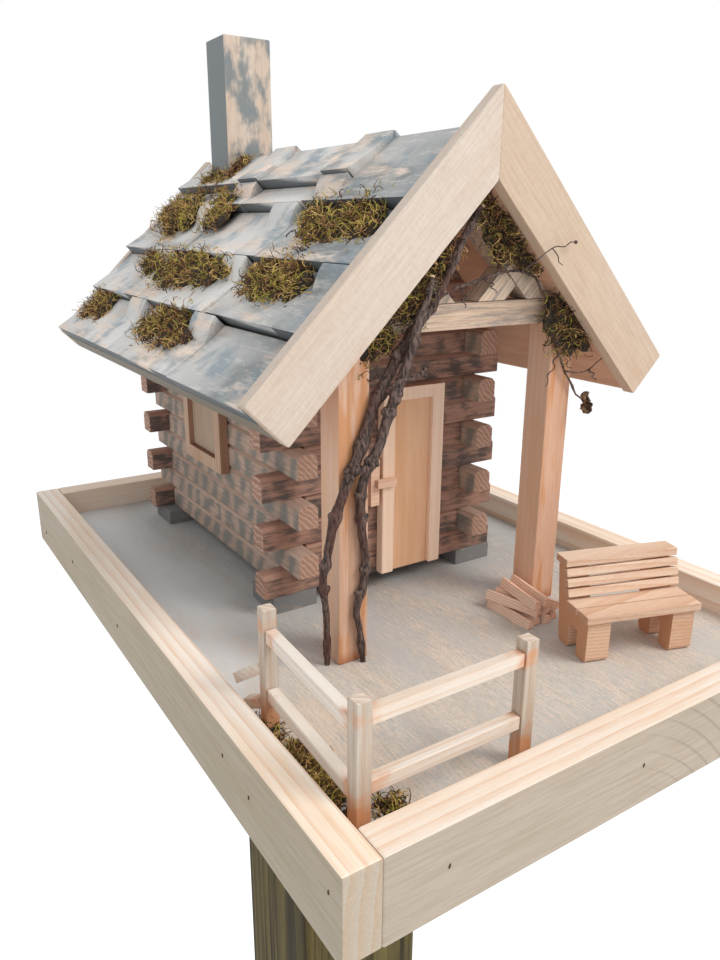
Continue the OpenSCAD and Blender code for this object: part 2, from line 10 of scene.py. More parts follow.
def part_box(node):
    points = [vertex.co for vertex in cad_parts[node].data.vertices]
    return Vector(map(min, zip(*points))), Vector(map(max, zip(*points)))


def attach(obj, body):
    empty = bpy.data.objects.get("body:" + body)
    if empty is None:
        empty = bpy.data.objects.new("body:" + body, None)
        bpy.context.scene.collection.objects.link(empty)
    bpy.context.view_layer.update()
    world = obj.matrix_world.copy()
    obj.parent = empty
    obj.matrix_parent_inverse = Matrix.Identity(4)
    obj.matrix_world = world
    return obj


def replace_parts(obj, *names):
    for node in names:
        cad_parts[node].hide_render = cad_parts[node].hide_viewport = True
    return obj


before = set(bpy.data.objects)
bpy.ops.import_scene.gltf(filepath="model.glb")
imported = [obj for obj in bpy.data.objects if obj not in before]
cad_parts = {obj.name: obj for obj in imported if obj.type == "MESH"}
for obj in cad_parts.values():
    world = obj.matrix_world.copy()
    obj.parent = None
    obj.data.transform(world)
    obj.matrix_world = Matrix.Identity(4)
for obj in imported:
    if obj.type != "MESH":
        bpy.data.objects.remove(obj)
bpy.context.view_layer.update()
MM = 0.001


# View: a hand-held camera a little above the roof's eave, off the left front corner.
# Its place and turn are those at which the feeder's straight edges fall where the photograph has them.
camera_place = Vector((-0.2297, -0.3908, 1.1323))
camera_right = Vector((0.84084, -0.54126, 0.00527))
camera_up = Vector((0.16155, 0.26024, 0.95193))
camera_lens = 29.7

camera = bpy.data.objects.new("camera", bpy.data.cameras.new("camera"))
turn = Matrix((camera_right, camera_up, camera_right.cross(camera_up))).transposed()
camera.matrix_world = Matrix.Translation(camera_place) @ turn.to_4x4()
camera.data.lens = camera_lens
camera.data.clip_start = 0.01
bpy.context.scene.collection.objects.link(camera)
bpy.context.scene.camera = camera
bpy.context.scene.view_settings.view_transform = "Standard"


# Light: a bright overcast sky all round, and one broad soft box high over the front right corner.
# The backdrop behind the object is plain white paper, seen only by the camera.
sky_colour = (0.93, 0.97, 1.0, 1.0)
sky_strength = 0.85
key_place = Vector((1.3, -2.0, 3.4))
key_aim = Vector((0.02, -0.02, 1.0))
key_size = 1.7
key_power = 66
key_colour = (1.0, 0.965, 0.92)

sky = bpy.data.worlds.new("overcast_sky")
sky.use_nodes = True
bpy.context.scene.world = sky
glow = sky.node_tree.nodes["Background"]
glow.inputs["Color"].default_value = sky_colour
glow.inputs["Strength"].default_value = sky_strength
paper = sky.node_tree.nodes.new("ShaderNodeBackground")
paper.inputs["Color"].default_value = (1.0, 1.0, 1.0, 1.0)
seen = sky.node_tree.nodes.new("ShaderNodeLightPath")
either = sky.node_tree.nodes.new("ShaderNodeMixShader")
sky.node_tree.links.new(seen.outputs["Is Camera Ray"], either.inputs[0])
sky.node_tree.links.new(glow.outputs[0], either.inputs[1])
sky.node_tree.links.new(paper.outputs[0], either.inputs[2])
sky.node_tree.links.new(either.outputs[0], sky.node_tree.nodes["World Output"].inputs["Surface"])

key = bpy.data.objects.new("key_light", bpy.data.lights.new("key_light", "AREA"))
key.data.shape = "DISK"
key.data.size = key_size
key.data.energy = key_power
key.data.color = key_colour
key.location = key_place
key.rotation_euler = (key_aim - key_place).to_track_quat("-Z", "Y").to_euler()
bpy.context.scene.collection.objects.link(key)


# Floor: the pale, matt ground of the studio that the post stands on.
# It is one round sheet of paper, wide enough to fill the view.
floor_radius = 4.0
floor_glow = 0.2


def put(tree, kind, wires, **settings):
    """Adds a shader node, with its settings, and its inputs wired or set by name or number."""
    node = tree.nodes.new("ShaderNode" + kind)
    for name, value in settings.items():
        setattr(node, name, value)
    for name, value in wires.items():
        if isinstance(value, bpy.types.NodeSocket):
            tree.links.new(value, node.inputs[name])
        else:
            node.inputs[name].default_value = value
    return node


def tint(code):
    """A colour written as six hex digits, as the linear colour that a socket holds."""
    parts = [int(code[i:i + 2], 16) / 255 for i in (0, 2, 4)]
    return [p / 12.92 if p <= 0.04045 else ((p + 0.055) / 1.055) ** 2.4 for p in parts] + [1.0]


def blank(name):
    """A new material with its node tree and its Principled shader."""
    material = bpy.data.materials.new(name)
    material.use_nodes = True
    return material, material.node_tree, material.node_tree.nodes["Principled BSDF"]


def settle(shape, name, material, smooth=True):
    """Turns a bmesh into an object with one material, at the origin."""
    mesh = bpy.data.meshes.new(name)
    shape.to_mesh(mesh)
    shape.free()
    mesh.materials.append(material)
    mesh.polygons.foreach_set("use_smooth", [smooth] * len(mesh.polygons))
    piece = bpy.data.objects.new(name, mesh)
    bpy.context.scene.collection.objects.link(piece)
    return piece


paper_floor, tree, shader = blank("paper_floor")
speck = put(tree, "TexNoise", {"Scale": 40.0})
shade = put(tree, "ValToRGB", {"Fac": speck.outputs["Fac"]})
shade.color_ramp.elements[0].color = tint("fafafa")
shade.color_ramp.elements[1].color = tint("ffffff")
tree.links.new(shade.outputs["Color"], shader.inputs["Base Color"])
shader.inputs["Roughness"].default_value = 0.9
shader.inputs["Emission Color"].default_value = (1.0, 1.0, 1.0, 1.0)
shader.inputs["Emission Strength"].default_value = floor_glow
ground = bmesh.new()
bmesh.ops.create_circle(ground, cap_ends=True, segments=64, radius=floor_radius)
settle(ground, "studio_floor", paper_floor, smooth=False)


# Ground post: a square sawn softwood post, weathered outdoors to greenish brown with dark checks.
# It stands in the ground and the tray is screwed down on its top.
grain_turns = {
    "x": (0, 0, 0),
    "y": (0, 0, -math.pi / 2),
    "z": (0, math.pi / 2, 0),
    "rise": (0, math.pi / 4, 0),
    "fall": (0, -math.pi / 4, 0),
}
course_shift = (0.4, 0.03, 0.0)
weld_gap = 0.01 * MM
edge_turn = math.radians(28)


def sums(tree, operation, first, second=0.0):
    """One step of arithmetic on two values."""
    return put(tree, "Math", {0: first, 1: second}, operation=operation).outputs[0]


def times(tree, first, second):
    """Two values multiplied."""
    return sums(tree, "MULTIPLY", first, second)


def plus(tree, first, second):
    """Two values added."""
    return sums(tree, "ADD", first, second)


def less(tree, first, second):
    """One value less another."""
    return sums(tree, "SUBTRACT", first, second)


def axes(tree, way):
    """A vector's three parts, by the names of the axes."""
    return put(tree, "SeparateXYZ", {0: way}).outputs


def fade(tree, value, low, high):
    """A soft step: 0 below low and 1 above high, or the other way where low is the larger."""
    wires = {"Value": value, "From Min": min(low, high), "From Max": max(low, high)}
    wires["To Min"] = 0.0 if low < high else 1.0
    wires["To Max"] = 1.0 if low < high else 0.0
    return put(tree, "MapRange", wires, interpolation_type="SMOOTHSTEP").outputs["Result"]


def layer(tree, share, under, over, how="MIX"):
    """A colour laid over another by a share from 0 to 1."""
    node = put(tree, "Mix", {0: share, 6: under, 7: over}, data_type="RGBA", blend_type=how)
    return node.outputs[2]


def stretched(tree, place, stretch):
    """The place with each axis scaled by itself."""
    return put(tree, "VectorMath", {0: place, 1: stretch}, operation="MULTIPLY").outputs[0]


def turned(tree, way, rotation, shift=(0.0, 0.0, 0.0)):
    """A place or a direction turned about the origin, then shifted."""
    return put(tree, "Mapping", {"Vector": way, "Rotation": rotation, "Location": shift}).outputs[0]


def cloud(tree, place, stretch, detail=3.0, rough=0.55):
    """Noise on a place, finer along an axis where the stretch is larger."""
    wires = {"Vector": stretched(tree, place, stretch), "Scale": 1.0, "Detail": detail, "Roughness": rough}
    return put(tree, "TexNoise", wires).outputs["Fac"]


def build_figure():
    """The figure of a board whose grain runs along X: rings, fibre, saw marks and slow drift."""
    tree = bpy.data.node_groups.new("board_figure", "ShaderNodeTree")
    tree.interface.new_socket(name="Place", in_out="INPUT", socket_type="NodeSocketVector")
    tree.interface.new_socket(name="Ring Scale", in_out="INPUT", socket_type="NodeSocketFloat")
    for name in ("Rings", "Fibre", "Saw", "Drift"):
        tree.interface.new_socket(name=name, in_out="OUTPUT", socket_type="NodeSocketFloat")
    given = tree.nodes.new("NodeGroupInput")
    result = tree.nodes.new("NodeGroupOutput")
    place = given.outputs["Place"]
    rings = put(tree, "TexWave", {
        "Vector": stretched(tree, place, (0.09, 1.0, 1.0)),
        "Scale": given.outputs["Ring Scale"],
        "Distortion": 5.0,
        "Detail": 2.0,
        "Detail Scale": 0.35,
    }, wave_type="RINGS", rings_direction="X", wave_profile="SAW")
    saw = put(tree, "TexWave", {
        "Vector": place,
        "Scale": 240.0,
        "Distortion": 2.5,
        "Detail": 2.0,
        "Detail Scale": 0.3,
    }, wave_type="BANDS", bands_direction="X", wave_profile="SIN")
    tree.links.new(rings.outputs["Fac"], result.inputs["Rings"])
    tree.links.new(cloud(tree, place, (45.0, 900.0, 900.0), 4.0, 0.65), result.inputs["Fibre"])
    tree.links.new(saw.outputs["Fac"], result.inputs["Saw"])
    tree.links.new(cloud(tree, place, (7.0, 45.0, 45.0), 3.0), result.inputs["Drift"])
    return tree


board_figure = build_figure()


def crossed(tree, share, way):
    """A vector with its X and Y changed over where the share is 1."""
    parts = axes(tree, way)
    over = put(tree, "CombineXYZ", {0: parts["Y"], 1: parts["X"], 2: parts["Z"]}).outputs[0]
    return put(tree, "Mix", {0: share, 4: way, 5: over}, data_type="VECTOR").outputs[1]


def board(name, grain, pale, ring, warm, end, pith=(0.0, 0.03, 0.02), ring_mm=2.6, ring_share=0.45,
          fibre_share=0.3, saw_share=0.02, warm_share=0.6, cell=None, corner=None):
    """Bare sawn wood with its grain along an axis.

    cell gives each course of pieces its own figure, and past a corner on Y the grain runs the other way.
    """
    material, tree, shader = blank(name)
    spot = tree.nodes.new("ShaderNodeTexCoord")
    turn = grain_turns[grain]
    start = spot.outputs["Object"]
    if cell:
        level = axes(tree, start)["Z"]
        step = sums(tree, "FLOOR", sums(tree, "DIVIDE", less(tree, level, cell[0]), cell[1]))
        chance = put(tree, "TexWhiteNoise", {"W": step}, noise_dimensions="1D").outputs["Color"]
        shifted = put(tree, "VectorMath", {0: chance, 1: course_shift, 2: start}, operation="MULTIPLY_ADD")
        start = shifted.outputs[0]
    normal = spot.outputs["Normal"]
    if corner is not None:
        past = sums(tree, "GREATER_THAN", axes(tree, start)["Y"], corner)
        start, normal = crossed(tree, past, start), crossed(tree, past, normal)
    place = turned(tree, start, turn, pith)
    cut = fade(tree, sums(tree, "ABSOLUTE", axes(tree, turned(tree, normal, turn))["X"]), 0.8, 0.95)
    figure = tree.nodes.new("ShaderNodeGroup")
    figure.node_tree = board_figure
    tree.links.new(place, figure.inputs["Place"])
    figure.inputs["Ring Scale"].default_value = math.tau / 20 / (ring_mm * MM)
    rings = figure.outputs["Rings"]
    fibre = figure.outputs["Fibre"]
    saw = figure.outputs["Saw"]
    drift = times(tree, fade(tree, figure.outputs["Drift"], 0.38, 0.7), warm_share)
    colour = layer(tree, drift, tint(pale), tint(warm))
    ring_line = times(tree, sums(tree, "POWER", rings, 2.2), ring_share)
    colour = layer(tree, ring_line, colour, tint(ring))
    grey = put(tree, "CombineColor", {0: fibre, 1: fibre, 2: fibre}).outputs[0]
    colour = layer(tree, fibre_share, colour, grey, "OVERLAY")
    colour = layer(tree, times(tree, fade(tree, saw, 0.55, 0.95), saw_share), colour, tint(ring), "MULTIPLY")
    end_colour = layer(tree, times(tree, rings, 0.55), tint(end), tint(ring))
    colour = layer(tree, cut, colour, end_colour)
    height = plus(tree, times(tree, fibre, 0.6), times(tree, saw, saw_share))
    return SimpleNamespace(material=material, tree=tree, shader=shader, spot=spot, place=place, figure=figure,
                           colour=colour, height=height, cut=cut, start=spot.outputs["Object"])


def brush(look, mask, colour, share):
    """Lays a tint over a look, by a share of a mask."""
    look.colour = layer(look.tree, times(look.tree, mask, share), look.colour, tint(colour))


def seal(look, rough=0.68, relief=0.5):
    """Wires a look's colour, roughness and relief in millimetres to its shader."""
    tree = look.tree
    tree.links.new(look.colour, look.shader.inputs["Base Color"])
    spread = put(tree, "MapRange", {
        "Value": look.figure.outputs["Fibre"],
        "From Min": 0.2,
        "From Max": 0.8,
        "To Min": rough - 0.08,
        "To Max": rough + 0.1,
    })
    tree.links.new(spread.outputs["Result"], look.shader.inputs["Roughness"])
    look.shader.inputs["Specular IOR Level"].default_value = 0.3
    bump = put(tree, "Bump", {"Height": look.height, "Distance": relief * MM, "Strength": 0.8})
    tree.links.new(bump.outputs["Normal"], look.shader.inputs["Normal"])
    return look.material


def dress(material, edge_mm, *nodes):
    """Gives CAD nodes a finish and eases their edges, as sandpaper does."""
    for name in nodes:
        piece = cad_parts[name]
        piece.material_slots[0].material = material
        weld = piece.modifiers.new("weld", "WELD")
        weld.merge_threshold = weld_gap
        ease = piece.modifiers.new("eased_edges", "BEVEL")
        ease.width = edge_mm * MM
        ease.segments = 2
        ease.limit_method = "ANGLE"
        ease.angle_limit = edge_turn


post = board("weathered_post", "z", "64552d", "32270f", "4d4522", "554724", ring_mm=5.0, ring_share=0.75,
             fibre_share=0.75, saw_share=0.0)
streak = fade(post.tree, cloud(post.tree, post.place, (3.0, 130.0, 130.0), 3.0), 0.5, 0.62)
brush(post, streak, "271e0c", 0.75)
silver = fade(post.tree, cloud(post.tree, post.place, (2.0, 60.0, 60.0), 2.0), 0.55, 0.7)
brush(post, silver, "75673b", 0.5)
dress(seal(post, 0.8, 1.6), 1.5, "ground_post")


# Tray floor: one wide softwood board, painted grey and rubbed back along the grain until it shows through.
# The rails are nailed round its edge and the cabin stands on it. The yard is worn most, and beside the cabin's left
# wall light is painted into the cabin's shade.
yard_back, yard_front = 20 * MM, -140 * MM
# Where light is painted into the cabin's shade beside its left wall, in metres.
painted_light_inner, painted_light_outer = -50 * MM, -100 * MM
painted_light_front, painted_light_back = -130 * MM, -40 * MM
floor_look = board("worn_floor_paint", "y", "e6d5c4", "bfa78f", "dac4af", "b8a290", ring_mm=5.0, ring_share=0.2,
                   fibre_share=0.35)
tree = floor_look.tree
rubbed = cloud(tree, floor_look.place, (110.0, 900.0, 900.0), 5.0, 0.75)
speck = cloud(tree, floor_look.place, (620.0, 1000.0, 1000.0), 2.0, 0.6)
broad = cloud(tree, floor_look.place, (12.0, 34.0, 34.0), 3.0)
kept = plus(tree, times(tree, rubbed, 0.6), times(tree, broad, 0.5))
kept = plus(tree, kept, times(tree, speck, 0.3))
along = axes(tree, floor_look.start)
yard_wear = times(tree, fade(tree, along["Y"], yard_back, yard_front), 0.12)
paint = fade(tree, less(tree, kept, yard_wear), 0.42, 0.74)
grey_paint_and_painted_light = layer(tree, fade(tree, broad, 0.35, 0.65), tint("a2a6a7"), tint("bebebc"))
# Painted light: beside the cabin's left wall, in its shade, the grey paint is laid much paler to lift that shade.
strip = times(tree, fade(tree, along["X"], painted_light_inner, painted_light_outer), fade(tree, along["Y"], painted_light_front, painted_light_back))
grey_paint_and_painted_light = layer(tree, times(tree, strip, 0.85), grey_paint_and_painted_light, tint("e2e6e8"))
floor_look.colour = layer(tree, times(tree, paint, 0.94), floor_look.colour, grey_paint_and_painted_light)
floor_look.height = plus(tree, floor_look.height, times(tree, rubbed, 0.5))
dress(seal(floor_look, 0.75, 0.5), 0.5, "tray_floor")


# Tray rails: four strips of band-sawn pine, butted at the corners and held by brads.
# Tops are planed and warm, the outer faces keep the grey, rough marks of the saw.
brad_length = 2.2
brad_width = 0.9
brad_deep = 0.35
brad_sink = 0.12
brad_lean = 0.3
blade = (0.27, -0.11, 0.0)
blade_feed = 7.5 * MM
arcs_from, arcs_full = 300 * MM, 370 * MM
tray_middle = (0.027, 0.0)


def rail_look(name, grain, pith, top, sawn, dull):
    """Planed pine with orange grain on top; the outer sides are greyed, with arcs from the saw blade."""
    look = board(name, grain, top, "d9a06e", "efd2b3", "ddd2c6", pith=pith, ring_mm=6.0, ring_share=0.42,
                 fibre_share=0.45)
    tree = look.tree
    facing = axes(tree, look.spot.outputs["Normal"])
    level = put(tree, "VectorMath", {0: look.start, 1: (*tray_middle, 0.0)}, operation="SUBTRACT").outputs[0]
    level = axes(tree, level)
    outer = plus(tree, times(tree, facing["X"], level["X"]), times(tree, facing["Y"], level["Y"]))
    bare = less(tree, 1.0, times(tree, look.cut, 0.3))
    side = times(tree, fade(tree, facing["Z"], 0.6, 0.3), times(tree, bare, fade(tree, outer, 0.0, 0.03)))
    streak = cloud(tree, look.place, (30.0, 620.0, 620.0), 4.0, 0.7)
    grey = layer(tree, fade(tree, streak, 0.35, 0.68), tint(sawn), tint(dull))
    drift = cloud(tree, look.place, (9.0, 40.0, 40.0), 3.0)
    grey = layer(tree, times(tree, fade(tree, drift, 0.45, 0.7), 0.35), grey, tint(dull))
    look.colour = layer(tree, times(tree, side, 0.9), look.colour, grey)
    look.height = plus(tree, look.height, times(tree, streak, 0.5))
    spot = axes(tree, look.place)
    swing = put(tree, "CombineXYZ", {0: spot["X"], 1: spot["Z"]}).outputs[0]
    sweep = put(tree, "VectorMath", {0: swing, 1: blade}, operation="DISTANCE").outputs["Value"]
    arc = sums(tree, "SINE", times(tree, sweep, math.tau / blade_feed))
    arc = times(tree, fade(tree, arc, 0.8, 1.0), fade(tree, spot["X"], arcs_from, arcs_full))
    arc = times(tree, arc, side)
    look.colour = layer(tree, times(tree, arc, 0.3), look.colour, tint("7d705f"))
    look.height = less(tree, look.height, arc)
    return seal(look, 0.66, 0.3)


dress(rail_look("side_rail_pine", "y", (0.1, 0.125, -0.9), "fbeee0", "a79986", "96886f"), 0.9, "left_rail",
      "right_rail")
dress(rail_look("end_rail_pine", "x", (0.3, 0.25, -0.925), "efdfcf", "b0a293", "a0927f"), 0.9, "front_rail",
      "back_rail")

brad_hole, tree, shader = blank("brad_hole")
pit = put(tree, "TexNoise", {"Scale": 900.0})
pit_colour = put(tree, "ValToRGB", {"Fac": pit.outputs["Fac"]})
pit_colour.color_ramp.elements[0].color = tint("2a1a12")
pit_colour.color_ramp.elements[1].color = tint("6b4a38")
tree.links.new(pit_colour.outputs["Color"], shader.inputs["Base Color"])
shader.inputs["Roughness"].default_value = 0.85

brads = bmesh.new()
tray_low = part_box("left_rail")[0]
tray_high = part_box("right_rail")[1]
# Each brad: its place along the rail and its height above the rail's lower edge, in metres.
side_brads = [(-0.2144, 0.0259), (-0.1535, 0.0203), (-0.1287, 0.024), (0.02, 0.016), (0.12, 0.018), (0.20, 0.012)]
front_brads = [(-0.083, 0.0205), (0.020, 0.0196), (0.098, 0.018), (0.15, 0.014)]
for along, up in side_brads:
    for x in (tray_low.x - brad_sink * MM, tray_high.x + brad_sink * MM):
        spot = Matrix.Translation((x, along, tray_low.z + up))
        size = Matrix.Diagonal((brad_deep * MM, brad_width * MM / 2, brad_length * MM / 2, 1.0))
        bmesh.ops.create_icosphere(brads, subdivisions=2, radius=1.0, matrix=spot @ size)
for along, up in front_brads:
    for y in (tray_low.y - brad_sink * MM, tray_high.y + brad_sink * MM):
        spot = Matrix.Translation((along, y, tray_low.z + up)) @ Matrix.Rotation(brad_lean, 4, "Y")
        size = Matrix.Diagonal((brad_width * MM / 2, brad_deep * MM, brad_length * MM / 2, 1.0))
        bmesh.ops.create_icosphere(brads, subdivisions=2, radius=1.0, matrix=spot @ size)
brad_marks = settle(brads, "brad_marks", brad_hole)
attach(brad_marks, "feeder")


# Cabin: softwood logs, flat where they lie on each other, passing in turn and glued at the corners.
# Grey paint is dabbed on their faces and rubbed off, and the cut ends are bare and pink.
log_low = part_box("left_wall")[0].z
log_rise = 14.35 * MM


def log_look(name, grain, face_axis, dabs, edge, soft, pale, ring, warm, paint_tone):
    """A log wall's finish: bare arrises, dabbed grey faces, sawn ends."""
    look = board(name, grain, pale, ring, warm, "b58d78", ring_mm=3.2, ring_share=0.35, fibre_share=0.4,
                 cell=(log_low, log_rise))
    tree = look.tree
    facing = axes(tree, look.spot.outputs["Normal"])
    flat = fade(tree, sums(tree, "ABSOLUTE", facing[face_axis]), 0.8, 0.95)
    bands = put(tree, "TexWave", {
        "Vector": turned(tree, look.place, (0.0, 0.35, 0.35)),
        "Scale": 20.5,
        "Distortion": 5.0,
        "Detail": 4.0,
        "Detail Scale": 2.4,
    }, wave_type="BANDS", bands_direction="X").outputs["Fac"]
    smear = cloud(tree, look.place, (70.0, 320.0, 320.0), 4.0, 0.7)
    broad = cloud(tree, look.place, (14.0, 60.0, 60.0), 2.0)
    dab = plus(tree, times(tree, bands, dabs), times(tree, smear, 0.9))
    dab = plus(tree, dab, times(tree, broad, 0.5))
    paint = fade(tree, dab, edge, edge + soft)
    brush(look, times(tree, flat, paint), paint_tone, 0.85)
    lines = put(tree, "TexWave", {
        "Vector": turned(tree, look.start, (0.5, 0.6, 0.4)),
        "Scale": 120.0,
        "Distortion": 6.0,
        "Detail": 3.0,
    }, wave_type="BANDS", bands_direction="X").outputs["Fac"]
    brush(look, times(tree, look.cut, fade(tree, lines, 0.5, 0.95)), "dcbfae", 0.45)
    look.height = plus(tree, look.height, times(tree, smear, 0.6))
    return seal(look, 0.78, 0.5)


dress(log_look("side_logs", "y", "X", 0.5, 0.56, 0.7, "c5aa98", "967868", "b59583", "7a7b76"), 0.6, "left_wall",
      "right_wall")
dress(log_look("end_logs", "x", "Y", 0.1, 0.6, 0.3, "b48d7b", "77584b", "a17765", "494847"), 0.6, "back_wall",
      "front_wall_left", "front_wall_right", "front_wall_over")

block_look = board("painted_blocks", "x", "b9a28c", "7d6550", "a58c78", "a89484")
scuff = fade(block_look.tree, cloud(block_look.tree, block_look.place, (60.0, 200.0, 200.0), 4.0, 0.7), 0.28, 0.42)
brush(block_look, scuff, "7b7d7e", 0.92)
dress(seal(block_look, 0.75, 0.4), 0.5, "corner_blocks")


# Windows: a butted frame of thin tan strips on each side wall, with a blank panel behind it.
# Both are bare softwood, and the sides of the frame's strips are a darker brown.
window_look = board("window_strip", "z", "c8a991", "a2795a", "be977a", "8e6351", ring_mm=3.0, warm_share=0.7)
side = axes(window_look.tree, window_look.spot.outputs["Normal"])
edge = fade(window_look.tree, sums(window_look.tree, "ABSOLUTE", side["Y"]), 0.7, 0.95)
brush(window_look, edge, "8d5f48", 0.6)
dress(seal(window_look), 0.5, "left_window_frame", "right_window_frame")
panel_look = board("window_panel", "z", "b69e86", "94785f", "ac8e78", "9f826a", ring_mm=5.0, ring_share=0.3)
dress(seal(panel_look), 0.3, "left_window_panel", "right_window_panel")


# Door: two cream stiles and a head strip planted on a thin orange-brown panel, hung on its right edge.
# A small turn bar on the left stile reaches over a keeper strip on the wall.
stile_look = board("door_strip", "z", "f8dbc4", "dcae8c", "f2ccad", "ddb69a", ring_mm=4.0, ring_share=0.2)
dress(seal(stile_look), 0.5, "door_left_stile", "door_right_stile", "door_head_rail")
leaf_look = board("door_panel", "z", "eabe9b", "c99168", "deab80", "c99775", ring_mm=9.0, ring_share=0.15,
                  fibre_share=0.25, warm_share=0.8)
dress(seal(leaf_look, 0.6, 0.3), 0.3, "door_panel")
latch_look = board("latch_strip", "x", "efcbb1", "c99272", "deb397", "ddad96", ring_share=0.3)
dress(seal(latch_look), 0.4, "latch_bar", "latch_keeper")


# Porch: two square pine posts under a tie beam, with a little truss of rafters and slanted struts.
# The posts are planed and oiled, with runs of orange glaze; the beam keeps rubbed grey paint.
deck_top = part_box("tray_floor")[1].z
foot_stain = 8 * MM
post_look = board("porch_post_pine", "z", "dab198", "a77959", "cf9877", "c6987f", pith=(0.0, -0.05, 0.075),
                  ring_mm=4.0, ring_share=0.5, saw_share=0.0)
tree = post_look.tree
runs = cloud(tree, post_look.place, (14.0, 150.0, 150.0), 3.0)
brush(post_look, fade(tree, runs, 0.49, 0.57), "c98448", 0.6)
level = axes(tree, post_look.start)["Z"]
foot = fade(tree, level, deck_top + foot_stain, deck_top)
brush(post_look, foot, "a85f33", 0.7)
facing = axes(tree, post_look.spot.outputs["Normal"])
brush(post_look, fade(tree, sums(tree, "ABSOLUTE", facing["X"]), 0.7, 0.95), "eecdb4", 0.55)
slant = turned(tree, post_look.start, (0.0, 0.45, 0.0))
teeth = put(tree, "TexWave", {"Vector": slant, "Scale": 170.0, "Distortion": 1.0}, wave_type="BANDS",
            bands_direction="Z").outputs["Fac"]
brush(post_look, fade(tree, teeth, 0.6, 1.0), "9c6c48", 0.08)
dress(seal(post_look), 0.7, "left_porch_post", "right_porch_post")


def beam_look(name, grain):
    """Pinkish sawn strip with rubbed grey-blue paint."""
    look = board(name, grain, "dac2ab", "9e7f6a", "cba88e", "c9ac96", ring_mm=2.6, saw_share=0.04)
    dry = cloud(look.tree, look.place, (26.0, 380.0, 380.0), 5.0, 0.75)
    brush(look, fade(look.tree, dry, 0.42, 0.68), "777575", 0.85)
    return seal(look, 0.75)


dress(beam_look("tie_beam_strip", "x"), 0.5, "porch_tie_beam")
dress(beam_look("truss_strip", "rise"), 0.5, "porch_rafters", "porch_struts")


# Roof boards: two plain softwood boards mitred at the ridge, bare and reddish on their undersides.
# Barge boards of clean band-sawn pine close both gables and stand a little above the shingles.
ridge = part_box("left_roof_deck")[1]
under_look = board("roof_board", "y", "d4a78b", "ad7d63", "c89a7d", "967e6a", ring_mm=6.0, ring_share=0.2)
tree = under_look.tree
facing = axes(tree, under_look.spot.outputs["Normal"])["X"]
beside = less(tree, axes(tree, under_look.start)["X"], ridge.x)
eave = fade(tree, times(tree, facing, sums(tree, "SIGN", beside)), 0.4, 0.6)
brush(under_look, eave, "6a6d64", 0.85)
dress(seal(under_look), 0.5, "left_roof_deck", "right_roof_deck")


def barge_look(name, grain, pith, pale, warm):
    """Clean pine with a faint crosswise weave from the saw."""
    look = board(name, grain, pale, "b99a7c", warm, "c7b4a3", pith=pith, ring_mm=9.0, ring_share=0.05,
                 fibre_share=0.3, saw_share=0.0)
    weave = cloud(look.tree, look.place, (700.0, 260.0, 260.0), 4.0, 0.75)
    brush(look, fade(look.tree, weave, 0.45, 0.65), "ad9176", 0.16)
    return seal(look, 0.64, 0.3)


dress(barge_look("rising_barge", "rise", (0.0, 0.09, -0.86), "d1c1b3", "ccb39d"), 0.9, "front_left_barge",
      "back_left_barge")
dress(barge_look("falling_barge", "fall", (0.0, 0.09, -0.74), "c9b29d", "c4a688"), 0.9, "front_right_barge",
      "back_right_barge")


# Shingles: thick coved strips in courses, each with raised ribs, cut from wood and painted blue-grey.
# The paint is rubbed back along the roof to pale wood, and the butts, which face down under each course, are painted
# dark as painted shade.
roof_back, roof_middle, roof_front = 100 * MM, 0.0, -80 * MM

shade_smooth = bpy.data.node_groups.new("shade_smooth", "GeometryNodeTree")
shade_smooth.interface.new_socket(name="Geometry", in_out="INPUT", socket_type="NodeSocketGeometry")
shade_smooth.interface.new_socket(name="Geometry", in_out="OUTPUT", socket_type="NodeSocketGeometry")
soft = shade_smooth.nodes.new("GeometryNodeSetShadeSmooth")
shade_smooth.links.new(shade_smooth.nodes.new("NodeGroupInput").outputs[0], soft.inputs["Geometry"])
shade_smooth.links.new(soft.outputs["Geometry"], shade_smooth.nodes.new("NodeGroupOutput").inputs[0])

shingle_look = board("shingle_paint", "y", "ead6c6", "c3a78f", "e2c3ac", "b0aaa4", ring_mm=5.0, ring_share=0.2,
                     fibre_share=0.3)
tree = shingle_look.tree
rubbed = cloud(tree, shingle_look.place, (34.0, 90.0, 90.0), 5.0, 0.65)
broad = cloud(tree, shingle_look.place, (16.0, 24.0, 24.0), 2.0)
kept = plus(tree, times(tree, rubbed, 0.75), times(tree, broad, 0.5))
ahead = axes(tree, shingle_look.start)["Y"]
kept = plus(tree, kept, times(tree, fade(tree, ahead, roof_back, roof_front), 0.06))
paint = fade(tree, kept, 0.48, 0.68)
front = fade(tree, ahead, roof_middle, roof_front)
pale = less(tree, fade(tree, broad, 0.3, 0.55), times(tree, front, 0.7))
tone = layer(tree, pale, tint("848a8c"), tint("d6d3cf"))
blue = cloud(tree, shingle_look.start, (26.0, 38.0, 38.0), 3.0)
tone = layer(tree, times(tree, fade(tree, blue, 0.52, 0.66), 0.7), tone, tint("7f929d"))
shingle_look.colour = layer(tree, times(tree, paint, 0.95), shingle_look.colour, tone)
chalk = cloud(tree, shingle_look.place, (60.0, 300.0, 300.0), 4.0, 0.7)
brush(shingle_look, fade(tree, chalk, 0.5, 0.68), "e6ded6", 0.4)
facing = axes(tree, shingle_look.spot.outputs["Normal"])
# Painted shade: the butts face down under the course above and are painted dark grey in place of their shade.
painted_butt_shade = fade(tree, facing["Z"], -0.2, -0.5)
brush(shingle_look, painted_butt_shade, "5b5f62", 0.92)
grit = cloud(tree, shingle_look.start, (900.0, 900.0, 900.0), 1.0)
brush(shingle_look, fade(tree, grit, 0.68, 0.74), "4c4f52", 0.5)
dress(seal(shingle_look, 0.72, 0.3), 0.6, "left_shingles", "right_shingles")
for name in ("left_shingles", "right_shingles"):
    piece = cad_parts[name]
    piece.modifiers["eased_edges"].harden_normals = True
    piece.modifiers.new("smooth_coves", "NODES").node_group = shade_smooth
    piece.modifiers.move(2, 1)
